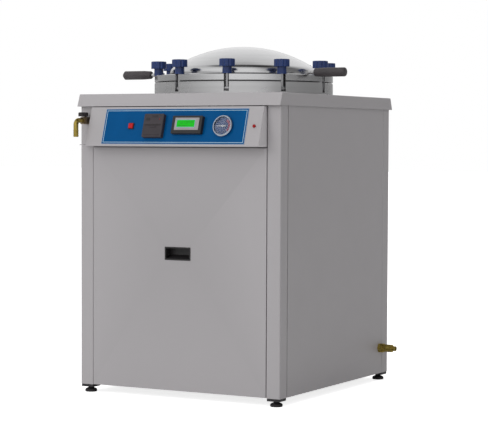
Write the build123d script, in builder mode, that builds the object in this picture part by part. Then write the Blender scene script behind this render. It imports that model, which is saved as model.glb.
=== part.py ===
from build123d import *
from math import atan2, cos, pi, radians, sin, sqrt, tan
import os

# Top-loading vertical autoclave: a cabinet on four levelling feet, a round pressure vessel
# hung from its top, and a domed lid clamped by ten swing bolts with hand knobs.
# Millimetres. X is to the right, Y to the back, Z up. The origin is on the floor,
# under the centre of the cabinet.

# ---------------------------------------------------------------- driving dimensions
floor_gap = 25.0  # floor to the cabinet's lower edge
cabinet_w = 700.0
cabinet_d = 766.0
cabinet_h = 900.0  # lower edge to the top of the cover

sheet = 1.5  # panel sheet thickness
fold = 15.0  # return fold on a panel's edges
seam = 1.5  # gap between a panel and a post
post = 46.0  # square tube corner posts
post_wall = 2.0
rail_leg = 24.0  # angle rails between the posts
rail_t = 3.0
rail_inset = 17.0  # outer face of the cabinet to a rail
rail_joint = 1.0  # a rail is welded this far into a post's wall

cover_t = 2.0
cover_lap = 4.0  # the cover stands this far outside the side panels
skirt_h = 38.0
skirt_flare = 14.0  # front and rear skirts slope out by this much

console_top = 884.5
console_bottom = 764.5
console_left = -300.0
console_right = 302.0
console_lip = 14.0  # the face's top edge stands this far in front of the posts
console_tilt = 17.0  # degrees from vertical
console_depth = 38.0  # housing behind the posts' front

fascia_w = 497.0
fascia_h = 111.0
fascia_x = 5.0
fascia_v = 0.5
fascia_t = 0.8

vessel_y = 27.0  # the vessel's axis is this far behind the cabinet's centre
vessel_r = 245.0
vessel_wall = 4.0
collar_r = 285.0
collar_top = 966.0
dish_r = 400.0  # inner radius of the dished bottom
dish_top = 260.0

bolt_count = 10
bolt_pcd_r = 272.7
bolt_r = 6.0
bolt_top = 1012.0
notch_w = 16.0
notch_in_r = 263.0
notch_floor = 935.0
eye_z = 944.0
eye_r = 7.5
eye_w = 12.0
pin_r = 4.0
pin_len = 36.0
running = 0.05  # radial clearance of a shaft that turns or slides in a hole

lid_base = 968.5
lid_flange_top = 989.0
crown_r = 418.0  # outer radius of the lid's crown
crown_top = 1083.0
knuckle_r = 24.0  # the crown turns down into the shoulder with this radius
shoulder_r = 236.0
lid_wall = 6.0

knob_base = 989.2
knob_neck_top = 1011.0
knob_top = 1034.0
knob_neck_r = 15.0
knob_head_r = 24.0
knob_bore_top = 1020.0

grip_y = vessel_y - 82.0
grip_z = 995.0
grip_in = 295.0
grip_out = 401.0
grip_r = 14.0

pull_z = 442.0
pull_w = 90.0
pull_h = 40.0

tap_x = -320.0
tap_z = 843.5
drain_y = 318.0
drain_z = 109.0
safety_z = 850.0
rear_reach = 460.0  # the safety valve's discharge pipe ends here

# ---------------------------------------------------------------- derived values
half_w = cabinet_w / 2
half_d = cabinet_d / 2
cover_top = floor_gap + cabinet_h
cover_under = cover_top - cover_t
skirt_bottom = cover_top - skirt_h
post_top = cover_top - 10
post_x = half_w - post / 2
post_y = half_d - post / 2
opening_half_w = half_w - post
opening_half_d = half_d - post
corners = {
    "front_left": (-post_x, -post_y),
    "front_right": (post_x, -post_y),
    "rear_left": (-post_x, post_y),
    "rear_right": (post_x, post_y),
}
face_height = console_top - console_bottom
face_run = face_height * tan(radians(console_tilt))
face_plane = Plane(
    origin=(0, -half_d - console_lip - face_run / 2, (console_top + console_bottom) / 2),
    x_dir=(1, 0, 0),
    z_dir=(0, -cos(radians(console_tilt)), sin(radians(console_tilt))),
)
dish_centre = dish_top + sqrt(dish_r**2 - vessel_r**2)
shell_r = vessel_r + vessel_wall
bolt_angles = [i * 360 / bolt_count for i in range(bolt_count)]

os.makedirs("parts", exist_ok=True)


# ---------------------------------------------------------------- helpers
def write(part, name):
    """Label a finished piece and write its STEP file."""
    part.label = name
    export_step(part, f"parts/{name}.step")


def vessel_section():
    """Vertical plane through the vessel's axis: local x is the radius, local y is height."""
    return Plane(origin=(0, vessel_y, 0), x_dir=(1, 0, 0), z_dir=(0, -1, 0))


def vessel_level(height):
    """Horizontal plane centred on the vessel's axis."""
    return Plane.XY.offset(height).move(Location((0, vessel_y, 0)))


vessel_axis = Axis((0, vessel_y, 0), (0, 0, 1))


def dish_z(radius, r):
    """Height of the dished bottom's sphere of the given radius at distance r."""
    return dish_centre - sqrt(radius**2 - r**2)


def turning_plane(u, v):
    """Plane through a point of the console face: local x is a radius, local y stands out."""
    return Plane(
        origin=face_plane.from_local_coords((u, v, 0)),
        x_dir=(1, 0, 0),
        z_dir=-face_plane.y_dir,
    )


def turning_axis(u, v):
    """Axis square to the console face through one of its points."""
    origin = face_plane.from_local_coords((u, v, 0))
    return Axis(origin, face_plane.z_dir)


def bolt_point(angle, height):
    """Point on the bolt circle."""
    x = bolt_pcd_r * cos(radians(angle))
    y = vessel_y + bolt_pcd_r * sin(radians(angle))
    return (x, y, height)


def pin_plane(angle):
    """Plane across a bolt's hinge pin, its normal along the pin."""
    tangent = (-sin(radians(angle)), cos(radians(angle)), 0)
    return Plane(origin=bolt_point(angle, eye_z), x_dir=(0, 0, 1), z_dir=tangent)


def folded_panel(outer_face, width, height):
    """Sheet panel with its four edges folded back, seen from its outer face."""
    with BuildPart() as panel:
        with BuildSketch(outer_face):
            RectangleRounded(width, height, 2)
        extrude(amount=-fold)
        with BuildSketch(outer_face.offset(-sheet)):
            Rectangle(width - 2 * sheet, height - 2 * sheet)
        extrude(amount=sheet - fold, mode=Mode.SUBTRACT)
    return panel.part


# ---------------------------------------------------------------- frame, feet and base
rail_zs = (floor_gap + 5, cover_under - rail_leg)
with BuildPart() as cabinet_frame:
    with BuildSketch(Plane.XY.offset(floor_gap)):
        with Locations(*corners.values()):
            RectangleRounded(post, post, 4)
    extrude(amount=post_top - floor_gap)
    # Angle rails: an upright leg and a flat leg, at the bottom and at the top.
    rail_x_len = 2 * (opening_half_w + rail_joint)
    rail_y_len = 2 * (opening_half_d + rail_joint)
    for rail_z in rail_zs:
        flat_z = rail_z + rail_t / 2 if rail_z == rail_zs[0] else cover_under - rail_t / 2
        for side in (-1, 1):
            upright_y = side * (half_d - rail_inset - rail_t / 2)
            flat_y = side * (half_d - rail_inset - rail_leg / 2)
            with Locations((0, upright_y, rail_z + rail_leg / 2)):
                Box(rail_x_len, rail_t, rail_leg)
            with Locations((0, flat_y, flat_z)):
                Box(rail_x_len, rail_leg, rail_t)
            upright_x = side * (half_w - rail_inset - rail_t / 2)
            flat_x = side * (half_w - rail_inset - rail_leg / 2)
            with Locations((upright_x, 0, rail_z + rail_leg / 2)):
                Box(rail_t, rail_y_len, rail_leg)
            with Locations((flat_x, 0, flat_z)):
                Box(rail_leg, rail_y_len, rail_t)
    # The rail that carries the console.
    with Locations((0, -half_d + rail_inset + rail_t / 2, console_bottom - rail_leg / 2)):
        Box(rail_x_len, rail_t, rail_leg)
    with Locations((0, -half_d + rail_inset + rail_leg / 2, console_bottom - rail_t / 2)):
        Box(rail_x_len, rail_leg, rail_t)
    # Two bearers under the collar carry the vessel.
    for bearer_y in (vessel_y - 262, vessel_y + 262):
        with Locations((0, bearer_y, cover_under - 15)):
            Box(2 * (half_w - rail_inset - rail_t), 20, 30)
    with BuildSketch(Plane.XY.offset(floor_gap)):
        with Locations(*corners.values()):
            RectangleRounded(post - 2 * post_wall, post - 2 * post_wall, 2.5)
    extrude(amount=post_top - floor_gap, mode=Mode.SUBTRACT)
    # Holes for the purge line through the front left post.
    with BuildSketch(Plane.XZ.offset(half_d)):
        with Locations((tap_x, tap_z)):
            Circle(6.5)
    extrude(amount=-post, mode=Mode.SUBTRACT)
write(cabinet_frame.part, "cabinet_frame")

cap_t = 8.0
plug_side = post - 2 * post_wall - 0.4
with BuildPart() as foot_caps:
    with BuildSketch(Plane.XY.offset(floor_gap - cap_t)):
        with Locations(*corners.values()):
            RectangleRounded(post - 2, post - 2, 4)
    extrude(amount=cap_t)
    with BuildSketch(Plane.XY.offset(floor_gap)):
        with Locations(*corners.values()):
            RectangleRounded(plug_side, plug_side, 2.4)
    extrude(amount=20)
    with BuildSketch(Plane.XY.offset(floor_gap - cap_t)):
        with Locations(*corners.values()):
            Circle(5 + running)
    extrude(amount=cap_t + 20, mode=Mode.SUBTRACT)
write(foot_caps.part, "foot_caps")

for corner, (foot_x, foot_y) in corners.items():
    foot_section = Plane(origin=(foot_x, foot_y, 0), x_dir=(1, 0, 0), z_dir=(0, -1, 0))
    with BuildPart() as foot:
        with BuildSketch(foot_section):
            with BuildLine():
                Polyline(
                    (0, 0), (17, 0), (18.5, 1.5), (18.5, 7), (16, 9.5), (9, 12.5),
                    (7.5, 16.8), (5, 16.8), (5, 42), (0, 42), (0, 0),
                )
            make_face()
        revolve(axis=Axis((foot_x, foot_y, 0), (0, 0, 1)))
    write(foot.part, f"foot_{corner}")

pan_z = rail_zs[0] + rail_leg
with BuildPart() as base_pan:
    with BuildSketch(Plane.XY.offset(pan_z)):
        Rectangle(2 * opening_half_w - 2, 2 * (half_d - rail_inset))
        Rectangle(2 * (half_w - rail_inset), 2 * opening_half_d - 2)
    extrude(amount=sheet)
write(base_pan.part, "base_pan")

# ---------------------------------------------------------------- cabinet skins
with BuildPart() as top_cover:
    with BuildSketch(Plane.YZ.offset(-half_w - cover_lap)):
        with BuildLine():
            Polyline(
                (-half_d, cover_top), (half_d, cover_top),
                (half_d + skirt_flare, skirt_bottom), (-half_d - skirt_flare, skirt_bottom),
                (-half_d, cover_top),
            )
        make_face()
    extrude(amount=cabinet_w + 2 * cover_lap)
    fillet(top_cover.faces().sort_by(Axis.Z)[-1].edges(), 1.5)
    with BuildSketch(Plane.YZ.offset(-half_w - cover_lap + cover_t)):
        with BuildLine():
            Polyline(
                (-half_d + 1.4, cover_under), (half_d - 1.4, cover_under),
                (half_d + skirt_flare - 2.2, skirt_bottom), (-half_d - skirt_flare + 2.2, skirt_bottom),
                (-half_d + 1.4, cover_under),
            )
        make_face()
    extrude(amount=cabinet_w + 2 * cover_lap - 2 * cover_t, mode=Mode.SUBTRACT)
    with BuildSketch(vessel_level(cover_under - 1)):
        Circle(notch_in_r - 8)
    extrude(amount=cover_t + 2, mode=Mode.SUBTRACT)
write(top_cover.part, "top_cover")

side_w = 2 * (opening_half_d - seam)
side_h = skirt_bottom + 8 - floor_gap
side_mid_z = floor_gap + side_h / 2
left_face = Plane(origin=(-half_w, 0, side_mid_z), x_dir=(0, -1, 0), z_dir=(-1, 0, 0))
right_face = Plane(origin=(half_w, 0, side_mid_z), x_dir=(0, 1, 0), z_dir=(1, 0, 0))
with BuildPart() as left_side_panel:
    add(folded_panel(left_face, side_w, side_h))
write(left_side_panel.part, "left_side_panel")

with BuildPart() as right_side_panel:
    add(folded_panel(right_face, side_w, side_h))
    with BuildSketch(right_face):
        with Locations((drain_y, drain_z - side_mid_z)):
            Circle(11)
    extrude(amount=-fold, mode=Mode.SUBTRACT)
write(right_side_panel.part, "right_side_panel")

rear_w = 2 * (opening_half_w - seam)
rear_face = Plane(origin=(0, half_d, side_mid_z), x_dir=(-1, 0, 0), z_dir=(0, 1, 0))
gland_x = -220.0
gland_z = 150.0
vent_w = 90.0
vent_h = 5.0
with BuildPart() as rear_panel:
    add(folded_panel(rear_face, rear_w, side_h))
    with BuildSketch(rear_face):
        with Locations((0, safety_z - side_mid_z)):
            Circle(9)
        with Locations((-gland_x, gland_z - side_mid_z)):
            Circle(9)
        # Two banks of cooling slots.
        for bank_z in (-300, 240):
            with Locations((0, bank_z)):
                with GridLocations(vent_w + 30, 18, 3, 6):
                    Rectangle(vent_w, vent_h)
    extrude(amount=-sheet, mode=Mode.SUBTRACT)
write(rear_panel.part, "rear_panel")

front_w = 2 * (opening_half_w - seam)
front_bottom = floor_gap + 1
front_top = console_bottom - 3
front_mid_z = (front_bottom + front_top) / 2
front_face = Plane(origin=(0, -half_d, front_mid_z), x_dir=(1, 0, 0), z_dir=(0, -1, 0))
with BuildPart() as front_panel:
    add(folded_panel(front_face, front_w, front_top - front_bottom))
    with BuildSketch(front_face):
        with Locations((0, pull_z - front_mid_z)):
            Rectangle(pull_w - 5, pull_h - 5)
    extrude(amount=-sheet, mode=Mode.SUBTRACT)
write(front_panel.part, "front_panel")

pull_lip = 1.2
pull_depth = 28.0
cup_wall = 1.5
pull_face = Plane(origin=(0, -half_d, pull_z), x_dir=(1, 0, 0), z_dir=(0, -1, 0))
cup_w = pull_w - 5.4
cup_h = pull_h - 5.4
with BuildPart() as panel_pull:
    with BuildSketch(pull_face):
        RectangleRounded(pull_w, pull_h, 2.5)
    extrude(amount=pull_lip)
    fillet(panel_pull.faces().sort_by(Axis.Y)[0].edges(), 0.6)
    with BuildSketch(pull_face):
        Rectangle(cup_w, cup_h)
    extrude(amount=-pull_depth)
    with BuildSketch(pull_face.offset(pull_lip)):
        Rectangle(cup_w - 2 * cup_wall, cup_h - 2 * cup_wall)
    extrude(amount=cup_wall - pull_depth - pull_lip, mode=Mode.SUBTRACT)
    # The pocket's floor slopes up towards the back.
    pocket_low = pull_z - cup_h / 2 + cup_wall
    pocket_back = -half_d + pull_depth - cup_wall
    with BuildSketch(Plane.YZ.offset(-cup_w / 2 + cup_wall)):
        with BuildLine():
            Polyline(
                (-half_d - pull_lip, pocket_low), (pocket_back, pocket_low),
                (pocket_back, pocket_low + 11), (-half_d - pull_lip, pocket_low),
            )
        make_face()
    extrude(amount=cup_w - 2 * cup_wall)
write(panel_pull.part, "panel_pull")

# ---------------------------------------------------------------- control console
# Places on the console face are (u, v): u to the right, v up the slope from its middle.
printer_at = (-61.0, 0.0)
display_at = (56.5, 2.5)
gauge_at = (175.6, 0.5)
button_at = (-144.5, 1.5)
lamp_at = (278.4, 1.1)
printer_hole = (62.5, 66.5)
display_hole = (95.5, 45.5)
button_hole = 17.4
gauge_hole_r = 27.5
lamp_hole_r = 4.0


def face_openings(height):
    """Outline of the instrument openings, at a height above the console face."""
    with BuildSketch(face_plane.offset(height)) as openings:
        with Locations(printer_at):
            Rectangle(*printer_hole)
        with Locations(display_at):
            Rectangle(*display_hole)
        with Locations(gauge_at):
            Circle(gauge_hole_r)
        with Locations(button_at):
            Rectangle(button_hole, button_hole)
        with Locations(lamp_at):
            Circle(lamp_hole_r)
    return openings.sketch


face_top_y = -half_d - console_lip
face_low_y = face_top_y - face_run
console_rear_y = -half_d + console_depth
face_slope = tan(radians(console_tilt))
skin_y = sheet / cos(radians(console_tilt))
inner_top_y = face_top_y + skin_y - sheet * face_slope
inner_low_y = face_low_y + skin_y + sheet * face_slope
with BuildPart() as console_shell:
    with BuildSketch(Plane.YZ.offset(console_left)):
        with BuildLine():
            Polyline(
                (face_top_y, console_top), (console_rear_y, console_top),
                (console_rear_y, console_bottom), (face_low_y, console_bottom),
                (face_top_y, console_top),
            )
        make_face()
    extrude(amount=console_right - console_left)
    fillet(console_shell.edges().filter_by(Axis.X).sort_by(Axis.Y)[0], 3)
    with BuildSketch(Plane.YZ.offset(console_left + sheet)):
        with BuildLine():
            Polyline(
                (inner_top_y, console_top - sheet), (console_rear_y + 1, console_top - sheet),
                (console_rear_y + 1, console_bottom + sheet),
                (inner_low_y, console_bottom + sheet), (inner_top_y, console_top - sheet),
            )
        make_face()
    extrude(amount=console_right - console_left - 2 * sheet, mode=Mode.SUBTRACT)
    extrude(face_openings(1), amount=-6, mode=Mode.SUBTRACT)
write(console_shell.part, "console_shell")

with BuildPart() as fascia:
    with BuildSketch(face_plane):
        with Locations((fascia_x, fascia_v)):
            RectangleRounded(fascia_w, fascia_h, 1)
    extrude(amount=fascia_t)
    extrude(face_openings(fascia_t + 1), amount=-fascia_t - 2, mode=Mode.SUBTRACT)
write(fascia.part, "fascia")

# The printer: a case with a paper bay behind a hinged cover.
printer_w = 68.5
printer_h = 73.0
printer_out = 14.0
printer_back = -50.0
bay_w = 58.0
bay_low = -31.0
bay_high = 1.0
bay_back = -42.0
cover_hinge_v = -28.4
cover_hinge_h = 11.4
cover_barrel_r = 2.4
cover_tip_v = 0.4
cover_w = 57.4
trunnion_r = 1.5
trunnion_out = 31.5
face_normal = Axis(face_plane.origin, face_plane.z_dir)


def printer_section(u):
    """Plane across the printer, u from its middle: local x stands out, local y is up the slope."""
    origin = face_plane.from_local_coords((printer_at[0] + u, printer_at[1], 0))
    return Plane(origin=origin, x_dir=face_plane.z_dir, z_dir=(-1, 0, 0))


with BuildPart() as printer_case:
    with BuildSketch(face_plane.offset(fascia_t)):
        with Locations(printer_at):
            RectangleRounded(printer_w, printer_h, 3)
    extrude(amount=printer_out - fascia_t)
    chamfer(printer_case.faces().sort_by(face_normal)[-1].edges(), 1)
    with BuildSketch(face_plane.offset(fascia_t)):
        with Locations(printer_at):
            Rectangle(printer_hole[0] - 0.5, printer_hole[1] - 0.5)
    extrude(amount=printer_back - fascia_t)
    with BuildSketch(face_plane.offset(printer_out)):
        with Locations((printer_at[0], printer_at[1] + (bay_low + bay_high) / 2)):
            Rectangle(bay_w, bay_high - bay_low)
    extrude(amount=bay_back - printer_out, mode=Mode.SUBTRACT)
    # Blind holes for the cover's trunnions.
    with BuildSketch(printer_section(trunnion_out + 0.2)):
        with Locations((cover_hinge_h, cover_hinge_v)):
            Circle(trunnion_r + running)
    extrude(amount=2 * trunnion_out + 0.4, mode=Mode.SUBTRACT)
write(printer_case.part, "printer_case")

with BuildPart() as printer_cover:
    with BuildSketch(printer_section(cover_w / 2)):
        with Locations((cover_hinge_h, cover_hinge_v)):
            Circle(cover_barrel_r)
        with Locations((cover_hinge_h, (cover_hinge_v + cover_tip_v) / 2)):
            Rectangle(2 * cover_barrel_r, cover_tip_v - cover_hinge_v)
    extrude(amount=cover_w)
    with BuildSketch(printer_section(trunnion_out)):
        with Locations((cover_hinge_h, cover_hinge_v)):
            Circle(trunnion_r)
    extrude(amount=2 * trunnion_out)
    # A raised ridge to pull the cover open by.
    with BuildSketch(face_plane.offset(cover_hinge_h + cover_barrel_r)):
        with Locations((printer_at[0], printer_at[1] - 4)):
            SlotOverall(24, 3)
    extrude(amount=1.8)
write(printer_cover.part, "printer_cover")

roll_r = 13.8
roll_len = 54.0
roll_v = bay_low + roll_r + 0.1
roll_h = bay_back + roll_r + 0.1
with BuildPart() as paper_roll:
    with BuildSketch(printer_section(roll_len / 2)):
        with Locations((roll_h, roll_v)):
            Circle(roll_r)
            Circle(6, mode=Mode.SUBTRACT)
    extrude(amount=roll_len)
write(paper_roll.part, "paper_roll")

# The display: a dark case, a pale front plate and a lit screen in its window.
display_w = 103.0
display_h = 55.0
display_out = 14.0
display_back = -30.0
plate_at = (56.6, 4.5)
plate_w = 82.5
plate_h = 38.0
screen_at = (53.3, 5.3)
screen_w = 62.0
screen_h = 22.0
pocket_t = 2.0
with BuildPart() as display_case:
    with BuildSketch(face_plane.offset(fascia_t)):
        with Locations(display_at):
            RectangleRounded(display_w, display_h, 2)
    extrude(amount=display_out - fascia_t)
    chamfer(display_case.faces().sort_by(face_normal)[-1].edges(), 1)
    with BuildSketch(face_plane.offset(fascia_t)):
        with Locations(display_at):
            Rectangle(display_hole[0] - 0.5, display_hole[1] - 0.5)
    extrude(amount=display_back - fascia_t)
    with BuildSketch(face_plane.offset(display_out)):
        with Locations(plate_at):
            Rectangle(plate_w + 0.4, plate_h + 0.4)
    extrude(amount=-pocket_t, mode=Mode.SUBTRACT)
write(display_case.part, "display_case")

with BuildPart() as display_plate:
    with BuildSketch(face_plane.offset(display_out - pocket_t)):
        with Locations(plate_at):
            RectangleRounded(plate_w, plate_h, 1)
        with Locations(screen_at):
            Rectangle(screen_w + 0.2, screen_h + 0.2, mode=Mode.SUBTRACT)
    extrude(amount=pocket_t + 0.3)
write(display_plate.part, "display_plate")

with BuildPart() as display_screen:
    with BuildSketch(face_plane.offset(display_out - pocket_t)):
        with Locations(screen_at):
            Rectangle(screen_w, screen_h)
    extrude(amount=pocket_t - 0.5)
write(display_screen.part, "display_screen")

# The pressure gauge: case with bezel, dial with its spindle, needle and glass.
gauge_r = 32.5
glass_r = 29.0
dial_h = 3.0
spindle_r = 1.2
with BuildPart() as gauge_case:
    with BuildSketch(turning_plane(*gauge_at)):
        with BuildLine():
            Polyline(
                (0, -35), (27, -35), (27, fascia_t), (gauge_r, fascia_t), (gauge_r, 8),
                (gauge_r - 1.5, 10), (28.2, 10), (28.2, 9.4), (glass_r + 0.1, 9.4),
                (glass_r + 0.1, 7.9), (28.2, 7.9), (28.2, dial_h - 1), (0, dial_h - 1), (0, -35),
            )
        make_face()
    revolve(axis=turning_axis(*gauge_at))
write(gauge_case.part, "gauge_case")

with BuildPart() as gauge_dial:
    with BuildSketch(turning_plane(*gauge_at)):
        with BuildLine():
            Polyline(
                (0, dial_h - 1), (28, dial_h - 1), (28, dial_h), (2.5, dial_h), (2.5, 4.4),
                (spindle_r, 4.4), (spindle_r, 7), (0, 7), (0, dial_h - 1),
            )
        make_face()
    revolve(axis=turning_axis(*gauge_at))
write(gauge_dial.part, "gauge_dial")

with BuildPart() as gauge_needle:
    with BuildSketch(face_plane.offset(4.6)):
        with Locations(gauge_at):
            Circle(3.6)
        with Locations((gauge_at[0] - 10, gauge_at[1])):
            Trapezoid(2.2, 23, 88.6, rotation=90)
        with Locations((gauge_at[0] + 6, gauge_at[1])):
            Rectangle(8, 2.6)
        with Locations(gauge_at):
            Circle(spindle_r + running, mode=Mode.SUBTRACT)
    extrude(amount=1)
write(gauge_needle.part, "gauge_needle")

with BuildPart() as gauge_glass:
    with BuildSketch(face_plane.offset(7.9)):
        with Locations(gauge_at):
            Circle(glass_r)
    extrude(amount=1.5)
write(gauge_glass.part, "gauge_glass")

# The lit power button slides in its square bezel.
button_side = 15.2
bezel_side = 19.4
button_well = -16.0
with BuildPart() as button_bezel:
    with BuildSketch(face_plane.offset(fascia_t)):
        with Locations(button_at):
            RectangleRounded(bezel_side, bezel_side, 1.5)
    extrude(amount=3.4 - fascia_t)
    chamfer(button_bezel.faces().sort_by(face_normal)[-1].edges(), 0.6)
    with BuildSketch(face_plane.offset(fascia_t)):
        with Locations(button_at):
            Rectangle(button_hole - 0.2, button_hole - 0.2)
    extrude(amount=button_well - 2 - fascia_t)
    with BuildSketch(face_plane.offset(3.4)):
        with Locations(button_at):
            Rectangle(button_side + 0.3, button_side + 0.3)
    extrude(amount=button_well - 3.4, mode=Mode.SUBTRACT)
write(button_bezel.part, "button_bezel")

with BuildPart() as power_button:
    with BuildSketch(face_plane.offset(-8)):
        with Locations(button_at):
            RectangleRounded(button_side, button_side, 1)
    extrude(amount=8 + 7)
    fillet(power_button.faces().sort_by(face_normal)[-1].edges(), 1.2)
write(power_button.part, "power_button")

with BuildPart() as pilot_lamp:
    with BuildSketch(face_plane.offset(fascia_t)):
        with Locations(lamp_at):
            Circle(5)
    extrude(amount=3.6)
    fillet(pilot_lamp.edges().sort_by(face_normal)[-1], 2.2)
    with BuildSketch(face_plane.offset(fascia_t)):
        with Locations(lamp_at):
            Circle(lamp_hole_r - 0.1)
    extrude(amount=-20)
write(pilot_lamp.part, "pilot_lamp")

# ---------------------------------------------------------------- pressure vessel
notch_len = 37.0
tap_port_y = -120.0
tap_port_x = -235.0
drain_port_z = 150.0
safety_port_y = 300.0
heater_z = 290.0
heater_face_y = -240.0


def notches(height):
    """Outline of the open notches that the swing bolts stand in."""
    with BuildSketch(vessel_level(height)) as outline:
        with PolarLocations(notch_in_r + notch_len / 2, bolt_count):
            Rectangle(notch_len, notch_w)
    return outline.sketch


dish_mid_r = vessel_r / 2
ledge_in_r = 232.0
ledge_z = 322.0
ledge_t = 6.0
with BuildPart() as pressure_vessel:
    with BuildSketch(vessel_section()):
        with BuildLine():
            Polyline(
                (0, dish_z(dish_r + vessel_wall, 0)), (0, collar_top), (collar_r, collar_top),
                (collar_r, cover_top), (shell_r, cover_top), (shell_r, dish_z(dish_r + vessel_wall, shell_r)),
            )
            ThreePointArc(
                (shell_r, dish_z(dish_r + vessel_wall, shell_r)),
                (dish_mid_r, dish_z(dish_r + vessel_wall, dish_mid_r)),
                (0, dish_z(dish_r + vessel_wall, 0)),
            )
        make_face()
    revolve(axis=vessel_axis)
    chamfer(pressure_vessel.edges().filter_by(GeomType.CIRCLE).group_by(Axis.Z)[-1], 1.5)
    # Ports: purge line, drain, safety valve and heater.
    with BuildSketch(Plane.YZ.offset(tap_port_x)):
        with Locations((tap_port_y, tap_z)):
            Circle(10)
    extrude(amount=40)
    with BuildSketch(vessel_level(drain_port_z)):
        Circle(13)
    extrude(amount=30)
    with BuildSketch(Plane.XZ.offset(-safety_port_y)):
        with Locations((0, safety_z)):
            Circle(12)
    extrude(amount=40)
    with BuildSketch(Plane.XZ.offset(-heater_face_y)):
        with Locations((0, heater_z)):
            Circle(50)
    extrude(amount=-60)
    # The chamber itself.
    with BuildSketch(vessel_section()):
        with BuildLine():
            Polyline(
                (0, dish_z(dish_r, 0)), (0, collar_top), (vessel_r, collar_top),
                (vessel_r, ledge_z + ledge_t), (ledge_in_r, ledge_z + ledge_t), (ledge_in_r, ledge_z),
                (vessel_r, ledge_z), (vessel_r, dish_top),
            )
            ThreePointArc(
                (vessel_r, dish_top), (dish_mid_r, dish_z(dish_r, dish_mid_r)), (0, dish_z(dish_r, 0))
            )
        make_face()
    revolve(axis=vessel_axis, mode=Mode.SUBTRACT)
    extrude(notches(notch_floor), amount=collar_top - notch_floor, mode=Mode.SUBTRACT)
    for angle in bolt_angles:
        with BuildSketch(pin_plane(angle)):
            Circle(pin_r + running)
        extrude(amount=pin_len / 2 + 0.1, both=True, mode=Mode.SUBTRACT)
    with BuildSketch(Plane.YZ.offset(tap_port_x)):
        with Locations((tap_port_y, tap_z)):
            Circle(5)
    extrude(amount=60, mode=Mode.SUBTRACT)
    with BuildSketch(vessel_level(drain_port_z)):
        Circle(8)
    extrude(amount=40, mode=Mode.SUBTRACT)
    with BuildSketch(Plane.XZ.offset(-safety_port_y)):
        with Locations((0, safety_z)):
            Circle(7)
    extrude(amount=60, mode=Mode.SUBTRACT)
    with BuildSketch(Plane.XZ.offset(-heater_face_y)):
        with Locations((0, heater_z)):
            Circle(43)
    extrude(amount=-40, mode=Mode.SUBTRACT)
write(pressure_vessel.part, "pressure_vessel")

insulation_t = 36.0
insulation_low = 350.0
insulation_top = 800.0
with BuildPart() as vessel_insulation:
    with BuildSketch(vessel_level(insulation_low)):
        Circle(shell_r + insulation_t)
        Circle(shell_r + 0.3, mode=Mode.SUBTRACT)
    extrude(amount=insulation_top - insulation_low)
    fillet(vessel_insulation.edges().filter_by(GeomType.CIRCLE).sort_by(SortBy.RADIUS)[-2:], 6)
write(vessel_insulation.part, "vessel_insulation")

with BuildPart() as bolt_pins:
    for angle in bolt_angles:
        with BuildSketch(pin_plane(angle)):
            Circle(pin_r)
        extrude(amount=pin_len / 2, both=True)
write(bolt_pins.part, "bolt_pins")

with BuildPart() as swing_bolts:
    for angle in bolt_angles:
        with BuildSketch(pin_plane(angle)):
            Circle(eye_r)
        extrude(amount=eye_w / 2, both=True)
    with BuildSketch(vessel_level(eye_z)):
        with PolarLocations(bolt_pcd_r, bolt_count):
            Circle(bolt_r)
    extrude(amount=bolt_top - eye_z)
    for angle in bolt_angles:
        with BuildSketch(pin_plane(angle)):
            Circle(pin_r + running)
        extrude(amount=eye_w / 2 + 1, both=True, mode=Mode.SUBTRACT)
write(swing_bolts.part, "swing_bolts")

# ---------------------------------------------------------------- heater, grid and basket
element_r = 4.25
element_xs = (-25.0, 25.0)
element_leg = 26.0
element_end_y = 180.0
with BuildPart() as heater:
    with BuildSketch(Plane.XZ.offset(-heater_face_y)):
        with Locations((0, heater_z)):
            Circle(50)
    extrude(amount=12)
    with BuildSketch(Plane.XZ.offset(-heater_face_y + 12)):
        with Locations((0, heater_z)):
            Circle(38)
    extrude(amount=34)
    fillet(heater.faces().sort_by(Axis.Y)[0].edges(), 3)
    with BuildSketch(Plane.XZ.offset(-heater_face_y + 12)):
        with Locations((0, heater_z)):
            with PolarLocations(44.5, 6):
                RegularPolygon(4.5, 6)
    extrude(amount=4)
    for element_x in element_xs:
        with BuildLine() as hairpin:
            Polyline(
                (element_x - element_leg / 2, heater_face_y - 4, heater_z),
                (element_x - element_leg / 2, element_end_y, heater_z),
            )
            ThreePointArc(
                (element_x - element_leg / 2, element_end_y, heater_z),
                (element_x, element_end_y + element_leg / 2, heater_z),
                (element_x + element_leg / 2, element_end_y, heater_z),
            )
            Line(
                (element_x + element_leg / 2, element_end_y, heater_z),
                (element_x + element_leg / 2, heater_face_y - 4, heater_z),
            )
        with BuildSketch(Plane.XZ.offset(-heater_face_y + 4)):
            with Locations((element_x - element_leg / 2, heater_z)):
                Circle(element_r)
        sweep(path=hairpin.wires()[0])
write(heater.part, "heater")

grid_z = ledge_z + ledge_t
with BuildPart() as support_grid:
    with BuildSketch(vessel_level(grid_z)):
        Circle(vessel_r - 3)
        for ring_r, count in ((60, 6), (110, 12), (160, 18), (210, 24)):
            with PolarLocations(ring_r, count):
                Circle(10, mode=Mode.SUBTRACT)
        Circle(10, mode=Mode.SUBTRACT)
    extrude(amount=3)
write(support_grid.part, "support_grid")

basket_low = grid_z + 3
basket_h = 420.0
basket_r = 224.0
basket_wall = 2.0
with BuildPart() as basket:
    with BuildSketch(vessel_level(basket_low)):
        Circle(basket_r)
    extrude(amount=basket_h)
    with BuildSketch(vessel_level(basket_low + basket_h - 8)):
        Circle(basket_r + 5)
    extrude(amount=8)
    with BuildSketch(vessel_level(basket_low + basket_wall)):
        Circle(basket_r - basket_wall)
    extrude(amount=basket_h, mode=Mode.SUBTRACT)
write(basket.part, "basket")

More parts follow.
